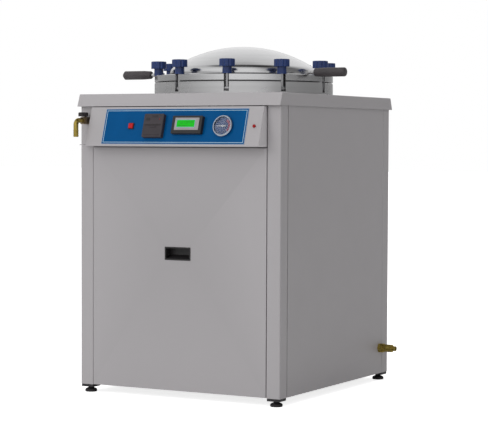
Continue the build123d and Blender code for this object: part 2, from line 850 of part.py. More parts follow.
# ---------------------------------------------------------------- lid
crown_centre = crown_top - crown_r
knuckle_in = shoulder_r - knuckle_r
knuckle_z = crown_centre + sqrt((crown_r - knuckle_r) ** 2 - knuckle_in**2)
crown_angle = atan2(knuckle_in, knuckle_z - crown_centre)
turn_angle = (crown_angle + pi / 2) / 2


def crown_point(inset, angle):
    """Point of the crown's arc, at an angle from the vessel's axis."""
    radius = crown_r - inset
    return (radius * sin(angle), crown_centre + radius * cos(angle))


def knuckle_point(inset, angle):
    """Point of the knuckle's arc, at an angle from upright."""
    radius = knuckle_r - inset
    return (knuckle_in + radius * sin(angle), knuckle_z + radius * cos(angle))


weld_leg = 4.0
with BuildPart() as lid:
    with BuildSketch(vessel_section()):
        with BuildLine():
            ThreePointArc(
                crown_point(0, 0), crown_point(0, crown_angle / 2), crown_point(0, crown_angle)
            )
            ThreePointArc(
                crown_point(0, crown_angle), knuckle_point(0, turn_angle), (shoulder_r, knuckle_z)
            )
            Polyline(
                (shoulder_r, knuckle_z), (shoulder_r, lid_flange_top + weld_leg),
                (shoulder_r + weld_leg, lid_flange_top), (collar_r - 1.5, lid_flange_top),
                (collar_r, lid_flange_top - 1.5), (collar_r, lid_base + 1.5), (collar_r - 1.5, lid_base),
                (shoulder_r - lid_wall, lid_base), (shoulder_r - lid_wall, knuckle_z),
            )
            ThreePointArc(
                (shoulder_r - lid_wall, knuckle_z), knuckle_point(lid_wall, turn_angle),
                crown_point(lid_wall, crown_angle),
            )
            ThreePointArc(
                crown_point(lid_wall, crown_angle), crown_point(lid_wall, crown_angle / 2),
                crown_point(lid_wall, 0),
            )
            Line(crown_point(lid_wall, 0), crown_point(0, 0))
        make_face()
    revolve(axis=vessel_axis)
    extrude(notches(lid_base - 1), amount=lid_flange_top - lid_base + 2, mode=Mode.SUBTRACT)
write(lid.part, "lid")

with BuildPart() as lid_gasket:
    with BuildSketch(vessel_section()):
        with Locations((vessel_r + 8, (collar_top + lid_base) / 2)):
            Rectangle(12, lid_base - collar_top)
    revolve(axis=vessel_axis)
write(lid_gasket.part, "lid_gasket")

grip_rod_r = 6.0
grip_rod_in = 250.0
grip_rod_out = 390.0
with BuildPart() as grip_rods:
    for side in (-1, 1):
        with BuildSketch(Plane.YZ.offset(side * grip_rod_in)):
            with Locations((grip_y, grip_z)):
                Circle(grip_rod_r)
        extrude(amount=side * (grip_rod_out - grip_rod_in))
        with Locations((side * 263, grip_y, lid_flange_top + 6)):
            Box(18, 24, 12)
write(grip_rods.part, "grip_rods")

for name, side in (("grip_left", -1), ("grip_right", 1)):
    grip_section = Plane(origin=(0, grip_y, grip_z), x_dir=(side, 0, 0), z_dir=(0, 0, 1))
    with BuildPart() as grip:
        with BuildSketch(grip_section):
            with BuildLine():
                Polyline(
                    (grip_in, grip_rod_r), (grip_in, 10.5), (grip_in + 3, 12.5), (grip_in + 30, grip_r),
                    (grip_out - 6, grip_r),
                )
                RadiusArc((grip_out - 6, grip_r), (grip_out, grip_r - 6), 6 * side)
                Polyline(
                    (grip_out, grip_r - 6), (grip_out, 0), (grip_rod_out, 0),
                    (grip_rod_out, grip_rod_r), (grip_in, grip_rod_r),
                )
            make_face()
        revolve(axis=Axis((0, grip_y, grip_z), (1, 0, 0)))
    write(grip.part, name)

# ---------------------------------------------------------------- hand knobs
lobe_count = 8
for number, angle in enumerate(bolt_angles, start=1):
    knob_plane = Plane(origin=bolt_point(angle, knob_neck_top), x_dir=(1, 0, 0), z_dir=(0, 0, 1))
    with BuildPart() as knob:
        with BuildSketch(knob_plane):
            Circle(knob_head_r)
            with PolarLocations(knob_head_r + 3.2, lobe_count):
                Circle(5.5, mode=Mode.SUBTRACT)
        extrude(amount=knob_top - knob_neck_top)
        fillet(knob.faces().sort_by(Axis.Z)[-1].edges(), 2.5)
        with BuildSketch(knob_plane.offset(knob_base - knob_neck_top)):
            Circle(knob_neck_r)
        extrude(amount=knob_neck_top - knob_base, taper=2)
        with BuildSketch(knob_plane.offset(knob_base - knob_neck_top)):
            Circle(bolt_r + running)
        extrude(amount=knob_bore_top - knob_base, mode=Mode.SUBTRACT)
    write(knob.part, f"knob_{number}")

# ---------------------------------------------------------------- purge tap
post_face = Plane(origin=(tap_x, -half_d, tap_z), x_dir=(1, 0, 0), z_dir=(0, -1, 0))
tap_out = 38.0
stem_out = 20.0
lever_low = 12.5
lever_high = 25.0
lever_tip = 52.0
with BuildPart() as tap_body:
    with BuildSketch(post_face):
        RegularPolygon(13, 6)
    extrude(amount=6)
    with BuildSketch(post_face.offset(6)):
        RectangleRounded(22, 22, 3)
    extrude(amount=tap_out - 12)
    with BuildSketch(post_face.offset(tap_out - 6)):
        RegularPolygon(11, 6)
    extrude(amount=6)
    with BuildSketch(post_face):
        Circle(6)
    extrude(amount=-8)
    with BuildSketch(Plane(origin=(tap_x, -half_d - stem_out, tap_z + 11))):
        Circle(4)
    extrude(amount=lever_high - 11 - 3)
    with BuildSketch(post_face.offset(tap_out)):
        Circle(4.5)
    extrude(amount=-tap_out - 8, mode=Mode.SUBTRACT)
write(tap_body.part, "tap_body")

lever_plane = Plane(origin=(tap_x, -half_d - stem_out, tap_z + lever_low))
with BuildPart() as tap_lever:
    with BuildSketch(lever_plane):
        with Locations((0, -(lever_tip - stem_out - 9) / 2)):
            SlotOverall(lever_tip - stem_out + 9, 18, rotation=90)
    extrude(amount=lever_high - lever_low)
    chamfer(tap_lever.faces().sort_by(Axis.Z)[-1].edges(), 2)
    with BuildSketch(lever_plane):
        Circle(4 + running)
    extrude(amount=lever_high - lever_low - 2.5, mode=Mode.SUBTRACT)
write(tap_lever.part, "tap_lever")

spout_r = 7.5
spout_bore_r = 4.5
spout_y = -half_d - 72
spout_low = 793.0
with BuildPart() as tap_spout:
    with BuildLine() as spout_path:
        FilletPolyline(
            (tap_x, -half_d - tap_out, tap_z), (tap_x, spout_y, tap_z), (tap_x, spout_y, spout_low),
            radius=14,
        )
    with BuildSketch(post_face.offset(tap_out)):
        Circle(spout_r)
    sweep(path=spout_path.wires()[0])
    # Barbs that hold a hose.
    for barb_z in (spout_low + 1, spout_low + 8, spout_low + 15):
        with BuildSketch(Plane.XY.offset(barb_z).move(Location((tap_x, spout_y, 0)))):
            Circle(spout_r - 0.3)
        extrude(amount=5, taper=-14)
    with BuildSketch(post_face.offset(tap_out)):
        Circle(spout_bore_r)
    sweep(path=spout_path.wires()[0], mode=Mode.SUBTRACT)
write(tap_spout.part, "tap_spout")

hook_z = 768.0
hook_len = 44.0
with BuildPart() as hose_hook:
    with BuildSketch(Plane.XY.offset(hook_z)):
        with Locations((tap_x, -half_d - hook_len / 2 + 5)):
            SlotOverall(hook_len + 10, 20, rotation=90)
        with Locations((tap_x, -half_d - hook_len + 11)):
            Circle(6, mode=Mode.SUBTRACT)
        with Locations((tap_x, -half_d + 5)):
            Rectangle(30, 10, mode=Mode.SUBTRACT)
    extrude(amount=2.5)
    with BuildSketch(Plane(origin=(tap_x, -half_d, hook_z), x_dir=(1, 0, 0), z_dir=(0, -1, 0))):
        with Locations((0, 8)):
            RectangleRounded(22, 20, 3)
    extrude(amount=2)
write(hose_hook.part, "hose_hook")

# ---------------------------------------------------------------- drain and pipes
panel_outer = Plane(origin=(half_w, drain_y, drain_z), x_dir=(0, 1, 0), z_dir=(1, 0, 0))
drain_inner_x = 330.0
spigot_r = 8.0
with BuildPart() as drain_fitting:
    with BuildSketch(panel_outer):
        RegularPolygon(16, 6)
    extrude(amount=17)
    with BuildSketch(panel_outer.offset(17)):
        Circle(12.5)
    extrude(amount=31)
    chamfer(drain_fitting.faces().sort_by(Axis.X)[-1].edges(), 1.5)
    with BuildSketch(panel_outer.offset(48)):
        Circle(spigot_r)
    extrude(amount=11)
    with BuildSketch(panel_outer):
        Circle(10)
    extrude(amount=drain_inner_x - half_w)
    with BuildSketch(panel_outer.offset(59)):
        Circle(5.5)
    extrude(amount=drain_inner_x - half_w - 59, mode=Mode.SUBTRACT)
write(drain_fitting.part, "drain_fitting")

with BuildPart() as drain_pipe:
    with BuildLine() as drain_path:
        FilletPolyline(
            (0, vessel_y, drain_port_z), (0, vessel_y, drain_z), (0, drain_y, drain_z),
            (drain_inner_x, drain_y, drain_z),
            radius=32,
        )
    with BuildSketch(vessel_level(drain_port_z)):
        Circle(10)
        Circle(8, mode=Mode.SUBTRACT)
    sweep(path=drain_path.wires()[0])
write(drain_pipe.part, "drain_pipe")

with BuildPart() as purge_pipe:
    with BuildLine() as purge_path:
        FilletPolyline(
            (tap_x, -half_d + 8, tap_z), (tap_x, tap_port_y, tap_z), (tap_port_x, tap_port_y, tap_z),
            radius=28,
        )
    with BuildSketch(Plane.XZ.offset(half_d - 8)):
        with Locations((tap_x, tap_z)):
            Circle(6)
            Circle(4.5, mode=Mode.SUBTRACT)
    sweep(path=purge_path.wires()[0])
write(purge_pipe.part, "purge_pipe")

valve_y = safety_port_y + 16
spigot_start_y = half_d + 8  # behind the rear panel the pipe steps down to its hose end
with BuildPart() as safety_valve:
    with BuildSketch(Plane.XZ.offset(-safety_port_y)):
        with Locations((0, safety_z)):
            Circle(12)
    extrude(amount=-16)
    with BuildSketch(Plane(origin=(0, valve_y, safety_z - 14))):
        Circle(14)
    extrude(amount=34)
    with BuildSketch(Plane(origin=(0, valve_y, safety_z + 20))):
        Circle(11)
    extrude(amount=18)
    with BuildSketch(Plane(origin=(0, valve_y, safety_z + 20))):
        RegularPolygon(15, 6)
    extrude(amount=7)
    with BuildSketch(Plane.XZ.offset(-valve_y)):
        with Locations((0, safety_z)):
            Circle(8)
    extrude(amount=valve_y - spigot_start_y)
    with BuildSketch(Plane.XZ.offset(-spigot_start_y)):
        with Locations((0, safety_z)):
            Circle(7)
    extrude(amount=spigot_start_y - rear_reach)
    with BuildSketch(Plane.XZ.offset(-rear_reach)):
        with Locations((0, safety_z)):
            Circle(5.5)
    extrude(amount=rear_reach - valve_y, mode=Mode.SUBTRACT)
write(safety_valve.part, "safety_valve")

# ---------------------------------------------------------------- electrics
box_x = -245.0
box_y = -265.0
box_w = 110.0
box_d = 90.0
box_h = 200.0
with BuildPart() as electrical_box:
    with BuildSketch(Plane(origin=(box_x, box_y, pan_z + sheet))):
        RectangleRounded(box_w, box_d, 3)
    extrude(amount=box_h)
    box_front = Plane(origin=(box_x, box_y - box_d / 2, pan_z + sheet + box_h / 2), z_dir=(0, -1, 0))
    with BuildSketch(box_front):
        Rectangle(box_w - 16, box_h - 16)
        with GridLocations(box_w - 28, box_h - 28, 2, 2):
            Circle(3, mode=Mode.SUBTRACT)
    extrude(amount=2)
write(electrical_box.part, "electrical_box")

gland_section = Plane(origin=(gland_x, 0, gland_z), x_dir=(1, 0, 0), z_dir=(0, 0, 1))
with BuildPart() as mains_gland:
    with BuildSketch(gland_section):
        with BuildLine():
            Polyline(
                (5.5, half_d - 10), (8.9, half_d - 10), (8.9, half_d), (14, half_d), (14, half_d + 6),
                (12.5, half_d + 7), (12.5, half_d + 18), (9, half_d + 24), (5.5, half_d + 24),
                (5.5, half_d - 10),
            )
        make_face()
    revolve(axis=Axis((gland_x, 0, gland_z), (0, 1, 0)))
write(mains_gland.part, "mains_gland")
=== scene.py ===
"""Looks of the top-loading autoclave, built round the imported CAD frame. Metres, Z up."""

import math

import bpy
from mathutils import Matrix, Vector
from mathutils import noise as mnoise


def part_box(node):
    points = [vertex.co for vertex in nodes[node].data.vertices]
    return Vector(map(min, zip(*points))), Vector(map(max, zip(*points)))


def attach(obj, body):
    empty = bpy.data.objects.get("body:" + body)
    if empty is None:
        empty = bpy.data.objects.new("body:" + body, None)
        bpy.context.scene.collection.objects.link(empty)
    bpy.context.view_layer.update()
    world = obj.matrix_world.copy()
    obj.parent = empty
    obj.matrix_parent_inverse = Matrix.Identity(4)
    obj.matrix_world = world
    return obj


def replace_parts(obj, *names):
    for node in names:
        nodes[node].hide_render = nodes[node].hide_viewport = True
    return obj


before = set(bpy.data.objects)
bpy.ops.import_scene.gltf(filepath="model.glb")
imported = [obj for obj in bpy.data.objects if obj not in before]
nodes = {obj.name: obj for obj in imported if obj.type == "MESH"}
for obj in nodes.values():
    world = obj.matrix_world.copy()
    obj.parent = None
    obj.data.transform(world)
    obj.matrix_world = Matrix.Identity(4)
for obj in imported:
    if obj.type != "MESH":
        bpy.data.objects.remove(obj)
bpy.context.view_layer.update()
MM = 0.001
TAU = 2 * math.pi


# ------------------------------------------------------------------ material helpers
def srgb(r, g, b):
    """Linear colour of an 8-bit display colour."""
    lin = [c / 255 for c in (r, g, b)]
    lin = [c / 12.92 if c <= 0.04045 else ((c + 0.055) / 1.055) ** 2.4 for c in lin]
    return (*lin, 1.0)


def scaled(color, k):
    """A colour made lighter or darker."""
    return (*[min(1.0, c * k) for c in color[:3]], 1.0)


class Tree:
    """Short calls that add and join nodes in a shader tree."""

    def __init__(self, tree):
        self.t = tree

    def add(self, kind, **props):
        node = self.t.nodes.new(kind)
        for key, value in props.items():
            setattr(node, key, value)
        return node

    def link(self, a, b):
        self.t.links.new(a, b)

    def fill(self, socket, value):
        """Set a socket to a plain value, or join another socket to it."""
        if isinstance(value, (int, float, tuple)):
            socket.default_value = value
        else:
            self.link(value, socket)

    def math(self, op, a, b=0.0):
        node = self.add("ShaderNodeMath", operation=op)
        self.fill(node.inputs[0], a)
        self.fill(node.inputs[1], b)
        return node.outputs[0]

    def ramp(self, fac, stops):
        """Colour ramp from (position, colour) stops."""
        node = self.add("ShaderNodeValToRGB")
        elements = node.color_ramp.elements
        for element, (position, color) in ((elements[0], stops[0]), (elements[1], stops[-1])):
            element.position = position
            element.color = color
        for position, color in stops[1:-1]:
            elements.new(position).color = color
        self.link(fac, node.inputs["Fac"])
        return node.outputs["Color"]

    def mix(self, fac, a, b, blend="MIX"):
        node = self.add("ShaderNodeMix", data_type="RGBA", blend_type=blend)
        self.fill(node.inputs[0], fac)
        self.fill(node.inputs[6], a)
        self.fill(node.inputs[7], b)
        return node.outputs[2]

    def split(self, vector):
        """X, Y and Z sockets of a vector."""
        node = self.add("ShaderNodeSeparateXYZ")
        self.link(vector, node.inputs[0])
        return node.outputs


class Mat(Tree):
    """A material with its Principled shader."""

    def __init__(self, name, color, rough, metal=0.0, **sockets):
        self.m = bpy.data.materials.new(name)
        self.m.use_nodes = True
        super().__init__(self.m.node_tree)
        self.p = self.t.nodes["Principled BSDF"]
        self.p.inputs["Base Color"].default_value = color
        self.p.inputs["Roughness"].default_value = rough
        self.p.inputs["Metallic"].default_value = metal
        for key, value in sockets.items():
            self.p.inputs[key.replace("_", " ")].default_value = value
        self.color = color
        self.normal = None
        self.coord = self.add("ShaderNodeTexCoord").outputs["Object"]

    def noise(self, scale, detail=3.0, rough=0.5, vector=None):
        node = self.add("ShaderNodeTexNoise")
        node.inputs["Scale"].default_value = scale
        node.inputs["Detail"].default_value = detail
        node.inputs["Roughness"].default_value = rough
        self.link(vector or self.coord, node.inputs["Vector"])
        return node.outputs["Fac"]

    def stretch(self, sx, sy, sz):
        node = self.add("ShaderNodeMapping")
        node.inputs["Scale"].default_value = (sx, sy, sz)
        self.link(self.coord, node.inputs["Vector"])
        return node.outputs["Vector"]

    def polar(self, cx, cy, k_radius, k_angle, k_height):
        """Coordinates round an upright axis, for turned and spun metal."""
        sep = self.split(self.coord)
        x = self.math("SUBTRACT", sep["X"], cx)
        y = self.math("SUBTRACT", sep["Y"], cy)
        square = self.math("ADD", self.math("MULTIPLY", x, x), self.math("MULTIPLY", y, y))
        radius = self.math("SQRT", square)
        angle = self.math("ARCTAN2", y, x)
        out = self.add("ShaderNodeCombineXYZ")
        self.link(self.math("MULTIPLY", radius, k_radius), out.inputs["X"])
        self.link(self.math("MULTIPLY", angle, k_angle), out.inputs["Y"])
        self.link(self.math("MULTIPLY", sep["Z"], k_height), out.inputs["Z"])
        return out.outputs[0]

    def vary_color(self, fac, low, high):
        """Base colour moves from low to high times its value with fac."""
        out = self.ramp(fac, [(0.3, scaled(self.color, low)), (0.7, scaled(self.color, high))])
        self.link(out, self.p.inputs["Base Color"])
        return out

    def vary_rough(self, fac, low, high):
        node = self.add("ShaderNodeMapRange")
        node.inputs["From Min"].default_value = 0.3
        node.inputs["From Max"].default_value = 0.7
        node.inputs["To Min"].default_value = low
        node.inputs["To Max"].default_value = high
        self.link(fac, node.inputs["Value"])
        self.link(node.outputs["Result"], self.p.inputs["Roughness"])

    def bump(self, fac, strength, distance):
        node = self.add("ShaderNodeBump")
        node.inputs["Strength"].default_value = strength
        node.inputs["Distance"].default_value = distance
        self.link(fac, node.inputs["Height"])
        if self.normal is not None:
            self.link(self.normal, node.inputs["Normal"])
        self.normal = node.outputs["Normal"]
        self.link(self.normal, self.p.inputs["Normal"])

    def edges(self, base, color, low=0.52, high=0.6, amount=0.6):
        """Edge wear: sharp convex edges take another colour."""
        geo = self.add("ShaderNodeNewGeometry")
        fac = self.add("ShaderNodeMapRange")
        fac.inputs["From Min"].default_value = low
        fac.inputs["From Max"].default_value = high
        fac.inputs["To Max"].default_value = amount
        self.link(geo.outputs["Pointiness"], fac.inputs["Value"])
        out = self.mix(fac.outputs["Result"], base, color)
        self.link(out, self.p.inputs["Base Color"])
        return out


def paint(name, color):
    """Powder coat: fine orange peel, faint cloudiness, lighter worn edges."""
    rough = 0.42
    m = Mat(name, color, rough, Specular_IOR_Level=0.45)
    cloud = m.noise(2.2, 4)
    base = m.vary_color(cloud, 0.975, 1.02)
    m.edges(base, scaled(color, 1.3))
    m.vary_rough(m.noise(9, 5), rough - 0.05, rough + 0.07)
    m.bump(m.noise(520, 2), 0.10, 0.0002)
    m.bump(m.noise(1900, 1), 0.06, 0.00008)
    return m.m


def spun_steel(name, color, rough, centre, fine=0.14, across=1400, drawn=0.45):
    """Stainless turned or polished round the vessel's axis.

    across is the rings' density outward from the axis: a low one keeps an upright wall free of swirls.
    drawn is the anisotropy of the highlight, and fine is the strength of the rings' bump.
    """
    m = Mat(name, color, rough, 1.0, Anisotropic=drawn)
    rings = m.noise(1.0, 3, 0.6, m.polar(*centre, across, 1.2, 1400))
    broad = m.noise(1.0, 2, 0.5, m.polar(*centre, 120, 0.8, 120))
    smear = m.noise(7, 4)
    cloud = m.math("ADD", m.math("MULTIPLY", broad, 0.6), m.math("MULTIPLY", smear, 0.4))
    m.vary_color(cloud, 0.93, 1.05)
    m.vary_rough(smear, rough - 0.05, rough + 0.06)
    m.bump(rings, fine, 0.00006)
    tangent = m.add("ShaderNodeTangent", direction_type="RADIAL", axis="Z")
    m.link(tangent.outputs[0], m.p.inputs["Tangent"])
    return m.m


def plain_steel(name, color, rough, along="Z", fine=0.2):
    """Drawn or machined metal with marks along one axis."""
    m = Mat(name, color, rough, 1.0)
    k = {"X": (20, 900, 900), "Y": (900, 20, 900), "Z": (900, 900, 20)}[along]
    marks = m.noise(1.0, 3, 0.6, m.stretch(*k))
    m.vary_color(m.noise(30, 4), 0.86, 1.08)
    m.vary_rough(marks, rough - 0.06, rough + 0.08)
    m.bump(marks, fine, 0.00008)
    return m.m


def plastic(name, color, rough, grain=1500, depth=0.25, worn=1.6):
    """Moulded plastic with a fine spark-eroded grain and lighter edges."""
    m = Mat(name, color, rough, Specular_IOR_Level=0.45)
    base = m.vary_color(m.noise(40, 4), 0.9, 1.1)
    m.edges(base, scaled(color, worn), 0.53, 0.62, 0.5)
    m.vary_rough(m.noise(120, 4), rough - 0.05, rough + 0.07)
    m.bump(m.noise(grain, 2), depth, 0.00012)
    return m.m


def brass(name, color, rough):
    """Dull brass: tarnish in patches, turning marks."""
    m = Mat(name, color, rough, 1.0)
    patches = m.noise(90, 6, 0.6)
    m.link(
        m.ramp(patches, [(0.35, scaled(color, 0.55)), (0.55, color), (0.75, scaled(color, 1.25))]),
        m.p.inputs["Base Color"],
    )
    m.vary_rough(patches, rough - 0.08, rough + 0.15)
    m.bump(m.noise(900, 3), 0.25, 0.0001)
    return m.m


def lens(name, color, glow, strength):
    """A tinted plastic cap that glows, with a faint pattern. On the lamps the glow is lamp light; on the
    power button it is painted light in place of its highlight.
    """
    m = Mat(name, color, 0.34, Specular_IOR_Level=0.2, Coat_Weight=0.1, Coat_Roughness=0.15)
    m.p.inputs["Emission Strength"].default_value = strength
    node = m.add("ShaderNodeTexVoronoi")
    node.inputs["Scale"].default_value = 500
    m.link(m.coord, node.inputs["Vector"])
    out = m.ramp(node.outputs["Distance"], [(0.0, glow), (1.0, scaled(glow, 0.55))])
    m.link(out, m.p.inputs["Emission Color"])
    m.bump(node.outputs["Distance"], 0.15, 0.0001)
    return m.m


# ------------------------------------------------------------------ materials
AXIS_XY = (0.0, (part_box("lid")[0].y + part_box("lid")[1].y) / 2)
M = {
    "cabinet": paint("cabinet_paint", srgb(160, 157, 159)),
    # The end plates' paint is a lighter copy of the cabinet paint: painted light that cancels the shade on
    # the console's cheeks.
    "end_plate": paint("cheek_painted_light", srgb(196, 193, 195)),
    "dome": spun_steel("lid_polish", (0.6, 0.6, 0.608, 1), 0.17, AXIS_XY, 0.10),
    "collar": spun_steel("collar_turned", (0.58, 0.58, 0.585, 1), 0.27, AXIS_XY, 0.03, 60, 0.0),
    "rod": plain_steel("bright_rod", (0.6, 0.6, 0.6, 1), 0.22, "X"),
    "bolt": plain_steel("bolt_steel", (0.42, 0.42, 0.43, 1), 0.3, "Z"),
    "pipe": plain_steel("pipe_steel", (0.52, 0.52, 0.52, 1), 0.3, "Y"),
    "galvanised": plain_steel("galvanised", (0.45, 0.46, 0.47, 1), 0.45, "X"),
    "wire": plain_steel("wire_steel", (0.6, 0.6, 0.6, 1), 0.28, "Z"),
    "chrome": plain_steel("gauge_chrome", (0.44, 0.49, 0.56, 1), 0.14, "Z", 0.05),
    "knob": plastic("knob_navy", srgb(29, 50, 100), 0.32, 700, 0.15, 1.7),
    "grip": plastic("grip_charcoal", srgb(66, 62, 64), 0.5, 1100, 0.35),
    "printer": plastic("printer_grey", srgb(52, 46, 51), 0.5),
    "black": plastic("black_plastic", srgb(34, 33, 35), 0.45),
    "foot": plastic("foot_rubber", srgb(36, 34, 36), 0.6, 900, 0.4),
    "pull": plastic("pull_black", srgb(34, 32, 33), 0.42),
    "plate": plastic("display_film", srgb(152, 148, 149), 0.35, 2200, 0.1, 1.1),
    "tap": plain_steel("tap_dark", srgb(142, 128, 110), 0.42, "Y"),
    "lever": plastic("lever_black", srgb(40, 35, 35), 0.4),
    "brass": brass("old_brass", srgb(182, 160, 82), 0.27),
    "gasket": plastic("gasket_rubber", srgb(24, 24, 25), 0.6),
    "face": plastic("gauge_face", srgb(58, 80, 122), 0.4, 2000, 0.05, 1.0),
    "needle": plastic("needle_white", srgb(226, 230, 236), 0.35, 2000, 0.05, 1.0),
    "red_zone": plastic("zone_red", srgb(140, 58, 84), 0.4, 2000, 0.05, 1.0),
    "mark": plastic("mark_pale", srgb(122, 140, 174), 0.4, 2000, 0.05, 1.0),
    "line": plastic("fascia_line", srgb(172, 206, 220), 0.3, 2000, 0.05, 1.0),
    "rim": plastic("fascia_rim", srgb(150, 170, 196), 0.3, 2000, 0.05, 1.0),
    "ink": plastic("lcd_ink", srgb(10, 96, 24), 0.4, 2000, 0.05, 1.0),
    "paper": plastic("paper_roll", srgb(232, 230, 224), 0.8, 900, 0.3, 1.0),
    # The power button's glow is painted light that stands in for its highlight; the pilot lamp below is a
    # real lamp.
    "red": lens("red_button", srgb(168, 16, 22), srgb(190, 22, 28), 0.2),
    "led": lens("red_lamp", srgb(132, 14, 16), srgb(170, 22, 24), 0.2),
}


def fascia_film():
    """Printed film: deep blue, matt, with faint clouding."""
    m = Mat("fascia_film", srgb(0, 78, 133), 0.4, Specular_IOR_Level=0.06)
    m.vary_color(m.noise(14, 4), 0.95, 1.04)
    m.vary_rough(m.noise(60, 3), 0.30, 0.40)
    m.bump(m.noise(1300, 2), 0.12, 0.00006)
    return m.m


def lcd():
    """Backlit screen: bright green, with a fine dot grid."""
    m = Mat("lcd_green", srgb(6, 62, 10), 0.35, Specular_IOR_Level=0.15)
    dots = m.add("ShaderNodeTexVoronoi", distance="CHEBYCHEV")
    dots.inputs["Scale"].default_value = 1400
    dots.inputs["Randomness"].default_value = 0.0
    m.link(m.coord, dots.inputs["Vector"])
    glow = m.ramp(dots.outputs["Distance"], [(0.2, srgb(20, 206, 26)), (0.5, srgb(14, 178, 22))])
    m.link(glow, m.p.inputs["Emission Color"])
    m.p.inputs["Emission Strength"].default_value = 0.9
    return m.m


def glass():
    """Clear gauge glass."""
    m = Mat("clear_glass", (1, 1, 1, 1), 0.03, Transmission_Weight=1.0, IOR=1.2)
    m.bump(m.noise(40, 2), 0.02, 0.0001)
    return m.m


def quilt():
    """Glass-cloth jacket of the vessel: woven, creased, off-white."""
    m = Mat("insulation_cloth", srgb(196, 190, 170), 0.85)
    weave = m.add("ShaderNodeTexWave", wave_type="BANDS", bands_direction="Z")
    weave.inputs["Scale"].default_value = 260
    m.link(m.coord, weave.inputs["Vector"])
    m.vary_color(m.noise(16, 5), 0.86, 1.06)
    m.bump(weave.outputs["Fac"], 0.3, 0.0004)
    m.bump(m.noise(26, 4), 0.6, 0.004)
    return m.m


M["fascia"] = fascia_film()
M["lcd"] = lcd()
M["glass"] = glass()
M["quilt"] = quilt()

NODE_LOOKS = {
    "cabinet": (
        "cabinet_frame top_cover left_side_panel right_side_panel rear_panel front_panel console_shell "
        "hose_hook"
    ),
    "collar": "pressure_vessel support_grid",
    "dome": "lid",
    "galvanised": "base_pan electrical_box",
    "bolt": "swing_bolts bolt_pins",
    "pipe": "drain_pipe purge_pipe heater",
    "rod": "grip_rods",
    "grip": "grip_left grip_right",
    "black": "foot_caps button_bezel mains_gland display_case",
    "printer": "printer_case printer_cover",
    "foot": "foot_front_left foot_front_right foot_rear_left foot_rear_right",
    "pull": "panel_pull",
    "plate": "display_plate",
    "lcd": "display_screen",
    "chrome": "gauge_case",
    "face": "gauge_dial",
    "needle": "gauge_needle",
    "glass": "gauge_glass",
    "red": "power_button",
    "led": "pilot_lamp",
    "paper": "paper_roll",
    "tap": "tap_body",
    "lever": "tap_lever",
    "brass": "tap_spout drain_fitting safety_valve",
    "gasket": "lid_gasket",
    "fascia": "fascia",
    "quilt": "vessel_insulation",
    "wire": "basket",
    "knob": " ".join(f"knob_{k}" for k in range(1, 11)),
}
for look, names in NODE_LOOKS.items():
    for name in names.split():
        data = nodes[name].data
        data.materials.clear()
        data.materials.append(M[look])


# ------------------------------------------------------------------ mesh helpers
def piece(name, verts, faces, look, body="root", smooth=False):
    """A mesh piece that rides on a body."""
    mesh = bpy.data.meshes.new(name)
    mesh.from_pydata([tuple(v) for v in verts], [], faces)
    mesh.validate()
    if smooth:
        mesh.polygons.foreach_set("use_smooth", [True] * len(mesh.polygons))
    mesh.materials.append(M[look])
    obj = bpy.data.objects.new(name, mesh)
    bpy.context.scene.collection.objects.link(obj)
    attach(obj, body)
    return obj


class Build:
    """Collects several closed shapes into one mesh."""

    def __init__(self):
        self.v = []
        self.f = []

    def put(self, verts, faces):
        base = len(self.v)
        self.v += [Vector(v) for v in verts]
        self.f += [tuple(i + base for i in f) for f in faces]

    def loops(self, loops, closed=False):
        """Skin between equal loops of points: a closed ring, or open with caps on the end loops."""
        n = len(loops[0])
        count = len(loops)
        faces = []
        for k in range(count if closed else count - 1):
            a, b = k * n, (k + 1) % count * n
            faces += [(a + i, a + (i + 1) % n, b + (i + 1) % n, b + i) for i in range(n)]
        if not closed:
            faces.append(tuple(range(n - 1, -1, -1)))
            faces.append(tuple((count - 1) * n + i for i in range(n)))
        self.put([p for loop in loops for p in loop], faces)

    def tube(self, points, radius, sides=10, closed=False):
        """Round wire along points."""
        pts = [Vector(p) for p in points]
        count = len(pts)
        normal = None
        loops = []
        for i, p in enumerate(pts):
            ahead = pts[(i + 1) % count] if closed or i < count - 1 else p
            behind = pts[i - 1] if closed or i else p
            d = (ahead - behind).normalized()
            if normal is None:
                normal = d.orthogonal().normalized()
            normal = (normal - d * normal.dot(d)).normalized()
            side = d.cross(normal)
            ring = [TAU * k / sides for k in range(sides)]
            loops.append([p + (normal * math.cos(a) + side * math.sin(a)) * radius for a in ring])
        self.loops(loops, closed=closed)

    def turned(self, origin, axis, profile, sides=32):
        """Profile of (radius, height) pairs turned round an axis. Ends on the axis are capped."""
        axis = Vector(axis).normalized()
        x = axis.orthogonal().normalized()
        y = axis.cross(x)
        rings = [TAU * k / sides for k in range(sides)]
        self.loops([
            [Vector(origin) + axis * h + (x * math.cos(a) + y * math.sin(a)) * r for a in rings]
            for r, h in profile
        ])

    def prism(self, place, outline, low, high, chamfer=0.0):
        """Flat outline of (u, v) raised between two heights by place(u, v, h)."""
        cu, cv = (sum(values) / len(outline) for values in zip(*outline))
        size = max(max(abs(u - cu), abs(v - cv)) for u, v in outline)
        k = 1 - chamfer / size if chamfer else 1.0
        loops = [[place(u, v, low) for u, v in outline]]
        loops.append([place(u, v, high - chamfer) for u, v in outline])
        if chamfer:
            loops.append([place(cu + (u - cu) * k, cv + (v - cv) * k, high) for u, v in outline])
        self.loops(loops)

    def frame(self, place, outer, inner, low, high):
        """Flat ring between two outlines with the same number of points."""
        self.loops(
            [
                [place(u, v, low) for u, v in outer],
                [place(u, v, high) for u, v in outer],
                [place(u, v, high) for u, v in inner],
                [place(u, v, low) for u, v in inner],
            ],
            closed=True,
        )

    def make(self, name, look, body="root", smooth=False):
        return piece(name, self.v, self.f, look, body, smooth)


